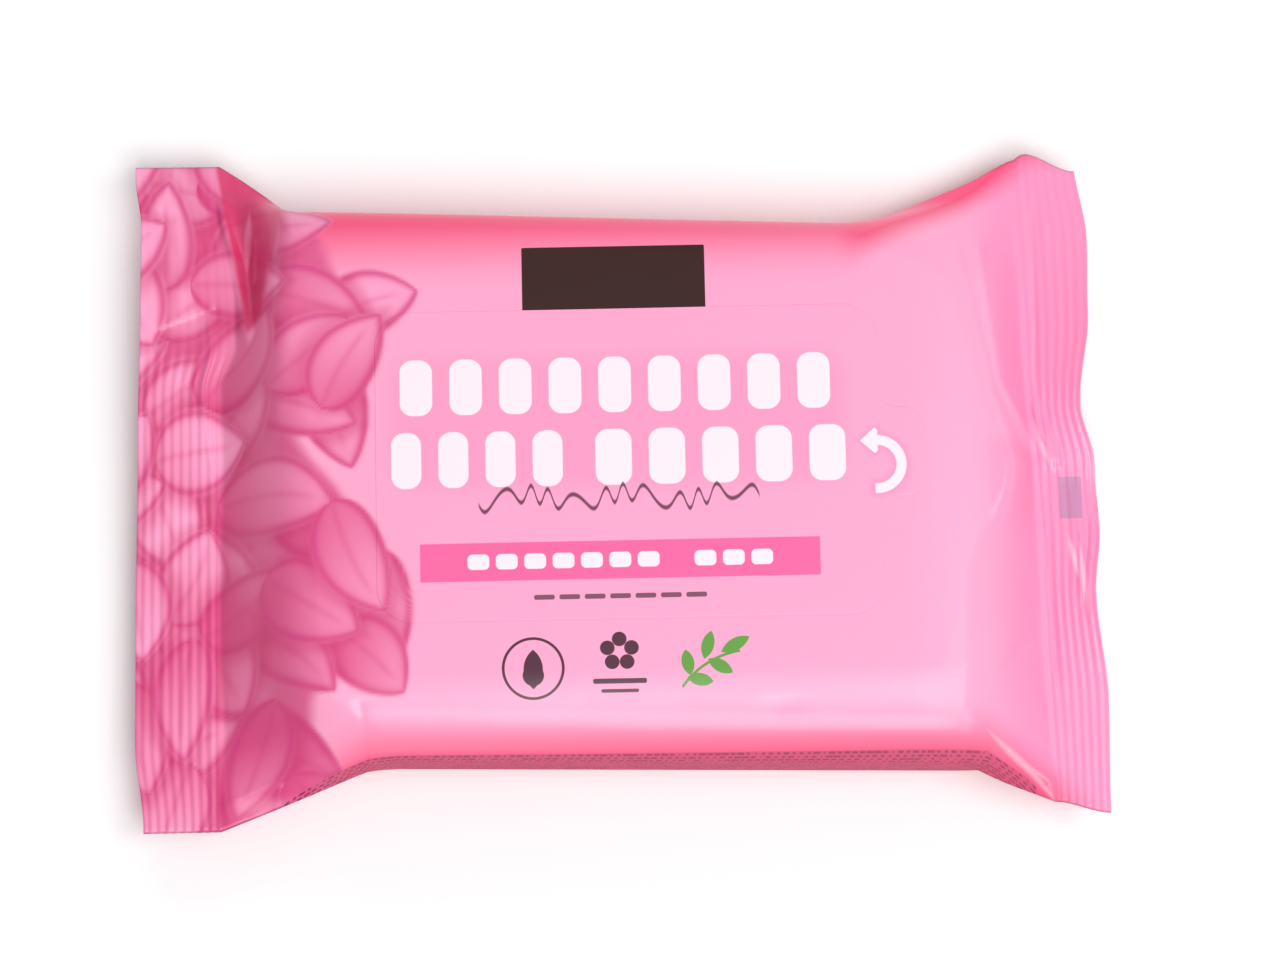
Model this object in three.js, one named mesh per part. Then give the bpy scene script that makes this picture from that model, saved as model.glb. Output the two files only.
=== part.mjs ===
// A pack of folded wet wipes in a sealed tube of film, lying on its back, and the peel-open label on its front.
// Lengths are in millimetres. X runs along the pack, Y across it and Z up, out of the front panel.
import * as THREE from "three";

// The pack as a whole
const packLength = 195; // over both end seals
const packHeight = 26; // from the back panel to the front panel
const stackWidth = 111; // the folded wipes, with the film round them
const sealWidth = 136; // half the girth of the film tube, pressed flat
const frontRadius = 9; // the soft shoulder round the front panel
const backRadius = 6; // the tighter edge that the pack lies on
const farTurn = 0.045; // how far the stack has turned in its tube, as the slopes of its two sides
const nearTurn = 0.024;
const stackShift = 1; // how far the stack lies off the middle of its tube, towards the near side
const shoulderSoftness = 0.3; // the share of a run over which its shoulder is rounded

// The crimped seals at the two ends
const sealHeight = 9.5; // the level of the seals over the back panel
const sealThickness = 0.5;
const ribPitch = 1.95;
const ribHeight = 0.6;
const ribClearance = 0.3; // the least plain film beside the ribs, as a share of the pitch

// The seam along the back, folded flat
const seamWidth = 11;
const seamThickness = 0.35;
const seamGroove = 2.6; // how far the film takes to come back to the level of the back panel

// The peel-open label
const labelLength = 100;
const labelWidth = 63;
const labelRadius = 7;
const labelThickness = 0.3;
const labelCentre = new THREE.Vector2(2.3, 1.9);
const tabReach = 9;
const tabWidth = 18;
const tabRadius = 4;
const tabShift = 1.1; // how far the tab's middle lies over the label's, towards the far side

// How each end comes down from the stack to its seal. A run is the length that the film takes to come down:
// frontRuns gives it at places across the front, farRun and nearRun on the two sides, which are unlike
// because the stack lies turned in the tube. The edge table says how far the cut edge stands in. farIn and
// nearIn say how far the two ends of the seal are drawn towards its middle, at its inner line and at its cut
// edge. A curl lifts the cut edge or presses it down.
const leftEnd = {
  side: -1,
  sealDepth: 16.5,
  frontRuns: [[-66, 17], [0, 15], [28, 12], [46, 13], [66, 13]],
  farRun: 14.5,
  nearRun: 31,
  edge: [[-67, 2.2], [-50, 0.5], [-24, 0.5], [13, 1], [40, 1.6], [56, 1.8], [67, 0.6]],
  farIn: [-1.2, -1.2],
  nearIn: [0, 0],
  curls: [
    { at: 44, reach: 26, rise: 1.6 },
    { at: -20, reach: 30, rise: -1.2 },
  ],
};
const rightEnd = {
  side: 1,
  sealDepth: 13.5,
  frontRuns: [[-55, 13], [-20, 12], [4, 5], [20, 9], [50, 14]],
  farRun: 33.5,
  nearRun: 14,
  edge: [[-66, 0.8], [-45, 0.4], [-24, 2.3], [-10, 0.8], [3, 1.2], [15, 3.9], [34, 1.6], [50, 1], [67, 3]],
  farIn: [0, 3.6],
  nearIn: [2.6, 0.2],
  curls: [
    { at: 26, reach: 22, rise: 4.5 },
    { at: -2, reach: 9, rise: -2.0 },
    { at: -24, reach: 15, rise: 3.2 },
  ],
};

// Soft hollows in the front of the film: where they lie, how far they reach and how deep they go.
const hollows = [
  { x: -74.5, y: 46, long: 5, wide: 13, deep: 7 },
  { x: -72, y: -46, long: 9, wide: 12, deep: 1.4 },
  { x: -76, y: 6, long: 5, wide: 20, deep: 1.0 },
  { x: 79, y: -32, long: 5, wide: 16, deep: 1.0 },
];

// Creases in the front of the film, each a valley between two places, or a ridge where it goes up.
const creases = [
  { from: [-80.5, 61], to: [-76, 31], wide: 4, deep: -2.6 },
  { from: [-79, -62.5], to: [-55, -53], wide: 3, deep: -0.9 },
  { from: [70.5, 50], to: [76.8, 18], wide: 3.4, deep: 1.3 },
  { from: [76.8, 18], to: [83, 3.5], wide: 3, deep: 1.2 },
  { from: [73, -53], to: [86, -64], wide: 3.4, deep: -1.8 },
  { from: [70, -50], to: [80, -34], wide: 3, deep: 0.8 },
];

const filmPink = 0xffb0d2;
const labelPink = 0xffb2d5;

const clamp01 = (value) => Math.min(1, Math.max(0, value));
const smooth = (value) => THREE.MathUtils.smoothstep(value, 0, 1);
const bump = (distance, reach) => Math.exp(-((distance / reach) ** 2));
const endAt = (x) => (x < 0 ? leftEnd : rightEnd);
const creaseOf = (end) => packLength / 2 - end.sealDepth; // where an end's slope meets its seal

// The value of a table of places and values, drawn as a smooth line through them.
function along(table, place) {
  const next = table.findIndex(([at]) => at > place);
  if (next < 0) return table[table.length - 1][1];
  if (next === 0) return table[0][1];
  const [[from, start], [to, end]] = [table[next - 1], table[next]];
  return THREE.MathUtils.lerp(start, end, smooth((place - from) / (to - from)));
}

// Half of the section through the stack, from the middle of the front round one side to the middle of the back.
function stackProfile() {
  const half = stackWidth / 2;
  const profile = new THREE.Path();
  profile.moveTo(0, packHeight);
  profile.lineTo(half - frontRadius, packHeight);
  profile.absarc(half - frontRadius, packHeight - frontRadius, frontRadius, Math.PI / 2, 0, true);
  profile.lineTo(half, backRadius);
  profile.absarc(half - backRadius, backRadius, backRadius, 0, -Math.PI / 2, true);
  profile.lineTo(0, 0);
  return profile;
}

// Stations along that half section, as shares of its length: close together where it bends. The side has
// its middle at one half, and as many stations lie before it as behind it.
function profileStations() {
  const frontFlat = stackWidth / 2 - frontRadius;
  const frontArc = (Math.PI / 2) * frontRadius;
  const side = packHeight - frontRadius - backRadius;
  const backArc = (Math.PI / 2) * backRadius;
  const backFlat = stackWidth / 2 - backRadius;
  const total = frontFlat + frontArc + side + backArc + backFlat;
  const upperSide = total / 2 - frontFlat - frontArc;
  const spans = [
    { length: frontFlat, steps: 9 },
    { length: frontArc, steps: 5 },
    { length: upperSide, steps: 1 },
    { length: side - upperSide, steps: 1 },
    { length: backArc, steps: 3 },
    { length: backFlat - seamWidth - seamGroove, steps: 6 },
  ];
  const stations = [0];
  let reached = 0;
  for (const span of spans) {
    for (let step = 1; step <= span.steps; step += 1) {
      stations.push((reached + (span.length * step) / span.steps) / total);
    }
    reached += span.length;
  }
  const seamLines = [seamWidth + seamThickness / 2, seamWidth, seamGroove, seamThickness / 2, 0];
  for (const line of seamLines) stations.push(1 - line / total);
  return stations;
}

// The groove beside the folded seam: 1 at the seam's two long edges, falling to 0 where the back is level.
function seamHollow(y) {
  const beyond = Math.max(y - seamWidth, -y);
  return beyond >= 0 && beyond < seamGroove ? 1 - beyond / seamGroove : 0;
}

// A ramp that starts softly at 0 and is straight up to 1.
function softRamp(share, softness) {
  const raised = (value) => (value + Math.sqrt(value * value + softness * softness)) / 2;
  const start = raised(-softness);
  return clamp01((raised(share) - start) / (raised(1) - start));
}

// How far a station belongs to the side of the pack: 1 on the side, 0 on the front and back panels.
function sideShare(station) {
  const reached = station * sealWidth;
  const sideStart = stackWidth / 2 - frontRadius;
  const sideEnd = sideStart + (Math.PI / 2) * (frontRadius + backRadius) + packHeight - frontRadius - backRadius;
  return smooth((reached - sideStart + 4) / 15) * (1 - smooth((reached - sideEnd + 7) / 16));
}

// How many ribs a seal has room for, and the plain film on either side of them.
function ribsOf(end) {
  const count = Math.floor(end.sealDepth / ribPitch - ribClearance);
  return { count, margin: (end.sealDepth - count * ribPitch) / 2 };
}

// The wave that the crimping jaws press, from -1 to 1 across a seal.
function ribWave(end, depth) {
  const ribs = ribsOf(end);
  const within = (depth - ribs.margin) / ribPitch;
  if (within < -0.2 || within > ribs.count + 0.2) return 0;
  const slope = 1 - 4 * Math.abs(within - Math.floor(within) - 0.5);
  return THREE.MathUtils.clamp(slope / 0.6, -1, 1);
}

// The height that a seal's curls add at a place across it, growing towards its cut edge.
function curlRise(end, y, outward) {
  return end.curls.reduce((sum, curl) => sum + curl.rise * bump(y - curl.at, curl.reach), 0) * outward ** 1.5;
}

// Keeps the film flat where the label is stuck to it, and dies out towards the seals.
function dentShare(x, y) {
  const clearX = Math.abs(x - labelCentre.x - tabReach / 2) - (labelLength + tabReach) / 2;
  const clearY = Math.abs(y - labelCentre.y) - labelWidth / 2;
  return smooth((Math.max(clearX, clearY) - 1) / 6) * (1 - smooth((Math.abs(x) - creaseOf(endAt(x)) + 1) / 2));
}

// How deep a crease goes at a place: soft across its line, running out at both ends.
function creaseDepth(crease, x, y) {
  const [fromX, fromY] = crease.from;
  const [dx, dy] = [crease.to[0] - fromX, crease.to[1] - fromY];
  const share = ((x - fromX) * dx + (y - fromY) * dy) / (dx * dx + dy * dy);
  const away = ((x - fromX) * dy - (y - fromY) * dx) / Math.hypot(dx, dy);
  return crease.deep * bump(away, crease.wide / 2) * smooth(share / 0.2 + 0.5) * smooth((1 - share) / 0.2 + 0.5);
}

// How far the front of the film lies under its smooth form.
function dentDepth(x, y) {
  const hollow = hollows.reduce(
    (sum, spot) => sum + spot.deep * bump(x - spot.x, spot.long) * bump(y - spot.y, spot.wide),
    0,
  );
  return (hollow + creases.reduce((sum, crease) => sum + creaseDepth(crease, x, y), 0)) * dentShare(x, y);
}

// One point of the film: at a distance along the pack, a station round the half girth and a side.
function filmPoint(profile, x, station, across) {
  const end = endAt(x);
  const towards = Math.abs(x) - creaseOf(end);
  const outward = clamp01(towards / end.sealDepth);
  const share = sideShare(station);
  const sideRun = across > 0 ? end.farRun : end.nearRun;
  const stack = profile.getPointAt(station);
  const frontRun = along(end.frontRuns, across * stack.x);
  const fall = softRamp(1 + towards / THREE.MathUtils.lerp(frontRun, sideRun, share * 0.75), shoulderSoftness);
  const spreadRun = THREE.MathUtils.lerp(frontRun, sideRun, share);
  const spread = softRamp(1 + towards / spreadRun, shoulderSoftness / 2) ** 0.85;

  const flatY = Math.min(station, 1 - station) * sealWidth;
  const [innerIn, cutIn] = across > 0 ? end.farIn : end.nearIn;
  const drawnIn = across * THREE.MathUtils.lerp(innerIn, cutIn, outward) * spread * smooth((2 * flatY) / sealWidth);
  const turn = THREE.MathUtils.lerp(nearTurn, farTurn, 0.5 + (across * stack.x) / stackWidth);
  const moved = (turn * x + stackShift) * (1 - spread);
  const y = across * THREE.MathUtils.lerp(stack.x, flatY, spread) - moved - drawnIn;

  const front = station < 0.5;
  const onEdge = Math.abs(station - 0.5) < 1e-9;
  const onSeam = !front && across * flatY > -1e-6 && across * flatY < seamWidth * 1.03;
  const stackZ = stack.y + (front ? 0 : seamThickness * seamHollow(across * stack.x) * bump(stack.y, 1));
  let flatZ = sealHeight;
  if (!onEdge) flatZ += front ? sealThickness / 2 : -sealThickness / 2 - (onSeam ? seamThickness : 0);
  if (outward > 0) flatZ += ribWave(end, end.sealDepth * (1 - outward)) * (ribHeight / 2);
  let z = THREE.MathUtils.lerp(stackZ, flatZ, fall) + curlRise(end, y, outward);
  if (front && !onEdge) {
    const room = 0.8 * (1 - fall) * (stack.y - profile.getPointAt(1 - station).y);
    z -= Math.min(dentDepth(x, y) * (1 - share * (1 - spread)), room);
  }
  return new THREE.Vector3(x - end.side * outward * along(end.edge, y), y, z);
}

// The distances from the middle at which one end's seal and slope are given a section, from the cut edge in.
function endColumns(end) {
  const ribs = ribsOf(end);
  const half = [packLength / 2, packLength / 2 - ribs.margin / 2];
  for (let rib = 0; rib < ribs.count; rib += 1) {
    for (const phase of [0.1, 0.4, 0.6, 0.9]) half.push(packLength / 2 - ribs.margin - (rib + phase) * ribPitch);
  }
  half.push(creaseOf(end));
  const longestRun = Math.max(end.farRun, end.nearRun) * 1.1;
  const slopeSteps = 15;
  for (let step = 1; step <= slopeSteps; step += 1) {
    half.push(creaseOf(end) - longestRun * (step / slopeSteps) ** 1.35);
  }
  return half;
}

// The distances along the pack at which the film tube is given a section.
function columns() {
  const left = endColumns(leftEnd).map((x) => -x);
  const right = endColumns(rightEnd);
  const [from, to] = [left[left.length - 1], right[right.length - 1]];
  const middleSteps = 6;
  const middle = [];
  for (let step = 1; step < middleSteps; step += 1) {
    middle.push(THREE.MathUtils.lerp(from, to, step / middleSteps));
  }
  return [...left, ...middle, ...right.reverse()];
}

// The faces across a cut edge: each point of the front layer is joined to its partner in the back layer.
function endFaces(halfCount, first, outward) {
  const last = halfCount - 1;
  const count = 2 * last;
  const faces = [];
  for (let row = 0; row < last; row += 1) {
    const front = [(row - last / 2 + count) % count, (row + 1 - last / 2 + count) % count];
    const back = front.map((index) => (last - index + count) % count);
    const corners = [front[0], front[1], back[1], back[0]].map((index) => first + index);
    if (outward) corners.reverse();
    const [a, b, c, d] = corners;
    if (a !== d && b !== c) faces.push(a, b, c, a, c, d);
    else faces.push(...(a === d ? [a, b, c] : [a, b, d]));
  }
  return faces;
}

// The film tube with the wipes sealed in it: one closed surface, lofted along the pack.
function sealedPackGeometry() {
  const profile = stackProfile();
  const half = profileStations();
  const ring = [
    ...half.map((station) => ({ station, across: 1 })),
    ...half.slice(1, -1).reverse().map((station) => ({ station, across: -1 })),
  ];
  const xs = columns();
  const count = ring.length;
  const positions = xs.flatMap((x) =>
    ring.flatMap(({ station, across }) => filmPoint(profile, x, station, across).toArray()),
  );
  const faces = [];
  for (let column = 0; column + 1 < xs.length; column += 1) {
    for (let row = 0; row < count; row += 1) {
      const a = column * count + row;
      const b = column * count + ((row + 1) % count);
      faces.push(a, a + count, b, b, a + count, b + count);
    }
  }
  faces.push(...endFaces(half.length, 0, false), ...endFaces(half.length, (xs.length - 1) * count, true));
  const geometry = new THREE.BufferGeometry();
  geometry.setAttribute("position", new THREE.Float32BufferAttribute(positions, 3));
  geometry.setIndex(faces);
  geometry.computeVertexNormals();
  return geometry;
}

// The label's outline: a rounded rectangle with a lift tab at its right end.
function labelOutline() {
  const right = labelLength / 2;
  const top = labelWidth / 2;
  const tabTop = tabShift + tabWidth / 2;
  const tabFoot = tabShift - tabWidth / 2;
  const outline = new THREE.Shape();
  outline.moveTo(-right + labelRadius, -top);
  outline.lineTo(right - labelRadius, -top);
  outline.absarc(right - labelRadius, -top + labelRadius, labelRadius, -Math.PI / 2, 0, false);
  outline.lineTo(right, tabFoot - tabRadius);
  outline.absarc(right + tabRadius, tabFoot - tabRadius, tabRadius, Math.PI, Math.PI / 2, true);
  outline.absarc(right + tabReach - tabRadius, tabFoot + tabRadius, tabRadius, -Math.PI / 2, 0, false);
  outline.absarc(right + tabReach - tabRadius, tabTop - tabRadius, tabRadius, 0, Math.PI / 2, false);
  outline.absarc(right + tabRadius, tabTop + tabRadius, tabRadius, -Math.PI / 2, Math.PI, true);
  outline.lineTo(right, top - labelRadius);
  outline.absarc(right - labelRadius, top - labelRadius, labelRadius, 0, Math.PI / 2, false);
  outline.lineTo(-right + labelRadius, top);
  outline.absarc(-right + labelRadius, top - labelRadius, labelRadius, Math.PI / 2, Math.PI, false);
  outline.lineTo(-right, -top + labelRadius);
  outline.absarc(-right + labelRadius, -top + labelRadius, labelRadius, Math.PI, 1.5 * Math.PI, false);
  return outline;
}

function sealedPack() {
  const film = new THREE.MeshStandardMaterial({ color: filmPink, roughness: 0.35, metalness: 0, name: "film" });
  const mesh = new THREE.Mesh(sealedPackGeometry(), film);
  mesh.name = "sealed_pack";
  return mesh;
}

function resealLabel() {
  const sheet = new THREE.MeshStandardMaterial({ color: labelPink, roughness: 0.3, metalness: 0, name: "label" });
  const geometry = new THREE.ExtrudeGeometry(labelOutline(), {
    depth: labelThickness,
    bevelEnabled: false,
    curveSegments: 8,
  });
  const mesh = new THREE.Mesh(geometry, sheet);
  mesh.name = "reseal_label";
  mesh.position.set(labelCentre.x, labelCentre.y, packHeight);
  return mesh;
}

const pack = new THREE.Group();
pack.name = "wet_wipes_pack";
pack.add(sealedPack(), resealLabel());

// The origin is the middle of the pack's outline, at the level it lies on.
const box = new THREE.Box3().setFromObject(pack, true);
pack.position.set(-(box.min.x + box.max.x) / 2, -(box.min.y + box.max.y) / 2, 0);

export default pack;
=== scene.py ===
"""A pack of folded wet wipes: a sealed tube of printed film with a peel-open label on its front.

The film and its print are worked out in millimetres, x along the pack, y across it and z out of its
front, and are put into the meshes in metres.
"""

import logging
import math
from collections.abc import Callable
from dataclasses import dataclass
from enum import Enum

import bpy
import numpy as np
from mathutils import Matrix, Vector


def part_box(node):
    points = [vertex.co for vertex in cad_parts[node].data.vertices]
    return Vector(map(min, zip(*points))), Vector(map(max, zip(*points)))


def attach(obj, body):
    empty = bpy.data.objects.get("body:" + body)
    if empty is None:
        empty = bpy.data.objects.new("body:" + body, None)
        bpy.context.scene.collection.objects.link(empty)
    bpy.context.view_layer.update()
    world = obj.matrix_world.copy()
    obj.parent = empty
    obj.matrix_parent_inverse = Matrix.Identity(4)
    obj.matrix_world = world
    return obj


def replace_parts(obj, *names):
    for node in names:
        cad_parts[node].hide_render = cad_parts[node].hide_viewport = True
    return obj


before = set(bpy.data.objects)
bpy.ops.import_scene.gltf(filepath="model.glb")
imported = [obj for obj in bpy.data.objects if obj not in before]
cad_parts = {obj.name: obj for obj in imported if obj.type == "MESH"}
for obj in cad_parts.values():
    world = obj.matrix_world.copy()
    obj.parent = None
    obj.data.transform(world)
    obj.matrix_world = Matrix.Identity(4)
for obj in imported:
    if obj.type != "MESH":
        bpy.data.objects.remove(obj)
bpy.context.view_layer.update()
log = logging.getLogger("wipes_pack")

MM = 0.001
UV_SPAN = 300.0  # millimetres of film that the unit square of the UV map covers
PAINT = "Leaf paint"  # the attribute that holds the painted leaves' colour and cover
LEAST_COVER = 1e-3  # under this share of cover, paint has no colour of its own

Table = tuple[tuple[float, float], ...]
Colour = tuple[float, float, float, float]
Sockets = tuple[tuple[str, str], ...]


def ease(value: np.ndarray) -> np.ndarray:
    """Three times the square less twice the cube of a value held between 0 and 1."""
    held = np.clip(value, 0.0, 1.0)
    return held * held * (3.0 - 2.0 * held)


def bump(distance: np.ndarray, reach: float) -> np.ndarray:
    """A bell: e to the power of minus the square of distance over reach."""
    return np.exp(-((distance / reach) ** 2))


def along(table: Table, place: np.ndarray) -> np.ndarray:
    """The value of a table at each place.

    Args:
        table: Places in rising order, each with its value.
        place: Where the value is wanted.

    Returns:
        Between two places of the table, the two values eased into each other.
    """
    places = np.array([row[0] for row in table])
    values = np.array([row[1] for row in table])
    after = np.clip(np.searchsorted(places, place), 1, len(places) - 1)
    share = ease((place - places[after - 1]) / (places[after] - places[after - 1]))
    return values[after - 1] + (values[after] - values[after - 1]) * share


def soft_ramp(share: np.ndarray, softness: float) -> np.ndarray:
    """A ramp from 0 to 1 whose foot is rounded.

    It is half the sum of the share and the root of its square plus the softness squared, held to 0 and 1.

    Args:
        share: How far along the ramp each place is, 0 at its foot and 1 at its top.
        softness: How far the rounding reaches.

    Returns:
        The height of the ramp.
    """

    def raised(value: np.ndarray) -> np.ndarray:
        """The rounded positive part of a value."""
        return (value + np.sqrt(value * value + softness * softness)) / 2.0

    start = raised(np.float64(-softness))
    return np.clip((raised(share) - start) / (raised(np.float64(1.0)) - start), 0.0, 1.0)


def tint(code: str) -> Colour:
    """Turns a colour as it is written on screen into the linear values that the shader takes.

    Args:
        code: Six hexadecimal digits.

    Returns:
        Red, green and blue by the usual screen curve, and 1.
    """
    parts = [int(code[i : i + 2], 16) / 255.0 for i in (0, 2, 4)]
    linear = [p / 12.92 if p <= 0.04045 else ((p + 0.055) / 1.055) ** 2.4 for p in parts]
    return (linear[0], linear[1], linear[2], 1.0)


def add_mesh(
    name: str,
    points: np.ndarray,
    quads: np.ndarray,
    uv: np.ndarray,
    paint: np.ndarray,
    material: bpy.types.Material,
) -> bpy.types.Object:
    """Puts computed points and faces into a mesh object at the origin.

    Args:
        name: The piece's name.
        points: One row of x, y and z in millimetres for each point.
        quads: One row of four point numbers for each face; a triangle repeats its last point.
        uv: Four rows of film coordinates in millimetres for each face, in the order of its corners.
        paint: A colour and its cover for each point.
        material: The piece's finish.

    Returns:
        The object, smooth shaded, with its UV map and its paint.
    """
    mesh = bpy.data.meshes.new(name)
    is_triangle = quads[:, 3] == quads[:, 2]
    keep = np.ones(quads.shape, bool)
    keep[is_triangle, 3] = False
    sizes = np.where(is_triangle, 3, 4)
    mesh.vertices.add(len(points))
    mesh.vertices.foreach_set("co", (points * MM).astype(np.float32).ravel())
    mesh.loops.add(int(sizes.sum()))
    mesh.loops.foreach_set("vertex_index", quads[keep].astype(np.int32))
    mesh.polygons.add(len(quads))
    mesh.polygons.foreach_set("loop_start", np.concatenate([[0], np.cumsum(sizes)[:-1]]).astype(np.int32))
    mesh.polygons.foreach_set("use_smooth", np.ones(len(quads), bool))
    mesh.update(calc_edges=True)
    layer = mesh.uv_layers.new(name="Film")
    unit_uv = uv.reshape(-1, 2)[keep.ravel()] / UV_SPAN + 0.5
    layer.data.foreach_set("uv", unit_uv.astype(np.float32).ravel())
    colours = mesh.color_attributes.new(name=PAINT, type="FLOAT_COLOR", domain="POINT")
    colours.data.foreach_set("color", paint.astype(np.float32).ravel())
    mesh.validate()
    piece = bpy.data.objects.new(name, mesh)
    bpy.context.collection.objects.link(piece)
    mesh.materials.append(material)
    return piece


# The shape of the film.


@dataclass(frozen=True)
class Curl:
    """A lift of a seal's cut edge: where across the pack, how far it reaches and how high it goes."""

    at: float
    reach: float
    rise: float


@dataclass(frozen=True)
class PackEnd:
    """How one end of the film comes down from the stack to its seal.

    front_runs and inner_line go by y: how long the slope is, and how far the seal's inner line leans out.
    edge and rib_share go by y too: how far the cut edge is drawn in, and how high the ribs stand.
    far_in and near_in go by the way out across the seal: how far each cut corner is drawn in across the pack.
    """

    side: float
    seal_depth: float
    front_runs: Table
    far_run: float
    near_run: float
    edge: Table
    far_in: Table
    near_in: Table
    curls: tuple[Curl, ...]
    rib_share: Table
    inner_line: Table

    def curl_rise(self, y: np.ndarray, outward: np.ndarray) -> np.ndarray:
        """The sum of the curls' bells, growing with the 1.5th power of the way out across the seal."""
        return sum(curl.rise * bump(y - curl.at, curl.reach) for curl in self.curls) * outward**1.5


@dataclass(frozen=True)
class Hollow:
    """A soft hollow in the front of the film, or a swelling where its depth is negative."""

    x: float
    y: float
    long: float
    wide: float
    deep: float

    def depth(self, x: np.ndarray, y: np.ndarray) -> np.ndarray:
        """The product of a bell along the pack and one across it."""
        return self.deep * bump(x - self.x, self.long) * bump(y - self.y, self.wide)


@dataclass(frozen=True)
class Crease:
    """A crease between two places: a valley, or a ridge where its depth is negative."""

    start: tuple[float, float]
    stop: tuple[float, float]
    wide: float
    deep: float
    sharp: bool = False
    run_out: float = 0.2

    def depth(self, x: np.ndarray, y: np.ndarray) -> np.ndarray:
        """A bell across the line, or a pointed one where it is sharp, that runs out at both ends.

        Args:
            x: Places along the pack.
            y: Places across the pack.

        Returns:
            The depth at each place.
        """
        dx, dy = self.stop[0] - self.start[0], self.stop[1] - self.start[1]
        share = ((x - self.start[0]) * dx + (y - self.start[1]) * dy) / (dx * dx + dy * dy)
        away = ((x - self.start[0]) * dy - (y - self.start[1]) * dx) / math.hypot(dx, dy)
        across = np.exp(-np.abs(away) / (self.wide / 2)) if self.sharp else bump(away, self.wide / 2)
        ends = ease(share / self.run_out + 0.5) * ease((1.0 - share) / self.run_out + 0.5)
        return self.deep * across * ends


LEFT_END = PackEnd(
    side=-1.0,
    seal_depth=17.6,
    front_runs=((-66, 17), (0, 15), (28, 12), (46, 13), (66, 13)),
    far_run=14.5,
    near_run=31.0,
    edge=((-67, 2.2), (-50, 0.5), (-24, 0.5), (13, 1.0), (40, 1.6), (56, 1.8), (67, 0.6)),
    far_in=((0, -1.2), (1, -1.2)),
    near_in=((0, 0.0), (1, 0.0)),
    curls=(Curl(44, 26, 1.6), Curl(-20, 30, -1.2)),
    rib_share=((-60, 0.5), (22, 0.5), (34, 0.16), (66, 0.12)),
    inner_line=((-66, 0.0), (22, 0.0), (31, 2.6), (46, 2.0), (62, 0.0)),
)
RIGHT_END = PackEnd(
    side=1.0,
    seal_depth=13.5,
    front_runs=((-55, 13), (-20, 12), (4, 5), (20, 9), (50, 14)),
    far_run=33.5,
    near_run=14.0,
    edge=(
        (-66, 0.8),
        (-45, 0.4),
        (-24, 2.3),
        (-10, 0.8),
        (3, 1.2),
        (15, 3.9),
        (34, 1.6),
        (50, 1.0),
        (67, 3.0),
    ),
    far_in=((0, 1.1), (0.22, -0.3), (1, 3.6)),
    near_in=((0, 2.6), (1, 0.2)),
    curls=(Curl(26, 22, 4.5), Curl(-2, 9, -2.0), Curl(-24, 15, 3.2)),
    rib_share=((-60, 0.28), (-20, 0.45), (10, 0.4), (24, 0.25), (66, 0.2)),
    inner_line=((-66, -1.7), (-33, -0.8), (0, 0.0), (30, 1.3), (62, 2.4)),
)

HOLLOWS = (
    Hollow(-74.5, 46, 5, 13, 7.0),
    Hollow(-72, -46, 9, 12, 1.4),
    Hollow(-76, 6, 5, 20, 1.0),
    Hollow(79, -32, 5, 16, 1.0),
)
CREASES = (
    Crease((-80.5, 61), (-76, 31), 4.0, -2.6),
    Crease((-79, -62.5), (-55, -53), 3.0, -0.9, True),
    Crease((70.5, 50), (76.8, 18), 3.4, 1.3, True),
    Crease((76.8, 18), (83, 3.5), 3.0, 1.2, True),
    Crease((73, -53), (86, -64), 3.4, -1.8, True),
    Crease((70, -50), (80, -34), 3.0, 0.8),
    Crease((-73.2, 53), (-74.2, 44), 1.8, -1.6, True),
    Crease((-51.5, -45), (-49.8, -53), 2.0, 0.5, True),
    Crease((31.5, -45.5), (32.5, -50.5), 1.8, 0.4, True),
    Crease((-15, -51), (-4, -53.5), 1.8, 0.5, True),
)
CRINKLES = (
    Crease((84.6, 16), (88.4, 3), 2.4, -0.9, True),
    Crease((87.5, 12), (89.5, 3), 2.0, -0.6, True),
    Crease((92.4, -2), (93.8, -24), 1.8, -0.7, True),
    Crease((95.2, -8), (94.4, -27), 1.6, 0.6, True),
    Crease((85.2, -2), (86.6, -40), 1.6, 0.5, True),
    Crease((87.8, 56), (86.4, 20), 2.0, 0.4, True),
    Crease((-84.5, 38), (-82.5, 8), 2.4, -0.6, True),
    Crease((-94.5, 34), (-82.0, 39), 2.6, 0.7, True),
)


@dataclass(frozen=True)
class FrontRelief:
    """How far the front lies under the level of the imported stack."""

    crown_across: float = 0.55
    half_across: float = 46.0
    crown_along: float = 0.35
    half_along: float = 66.0
    near_roll: float = 1.15
    near_roll_start: float = -39.5
    near_roll_width: float = 11.5
    right_roll_start: float = 57.0
    right_roll_length: float = 105.0
    deepest: float = 3.2
    long_wave: float = 0.1
    cross_wave: float = 0.08

    def depth(self, x: np.ndarray, y: np.ndarray) -> np.ndarray:
        """The sum of a crown, two rolls and long soft waves.

        The crown grows with the cubes of y and x. One roll is eased in over the near shoulder. The other
        grows towards the right end with the square of the way past its start. The waves are sines.

        Args:
            x: Places along the pack.
            y: Places across the pack.

        Returns:
            The depth at each place.
        """
        crown = self.crown_across * np.abs((y + 1) / self.half_across) ** 3
        crown = crown + self.crown_along * np.abs(x / self.half_along) ** 3
        crown = crown + self.near_roll * ease((self.near_roll_start - y) / self.near_roll_width)
        crown = crown + np.maximum(x - self.right_roll_start, 0.0) ** 2 / self.right_roll_length
        waves = self.long_wave * (1 + np.sin(x / 15.0 + 0.6 * np.sin(y / 21.0) + 1.0))
        waves = waves + self.cross_wave * (1 + np.sin(y / 12.0 - x / 33.0))
        return np.minimum(crown, self.deepest) + waves


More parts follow.
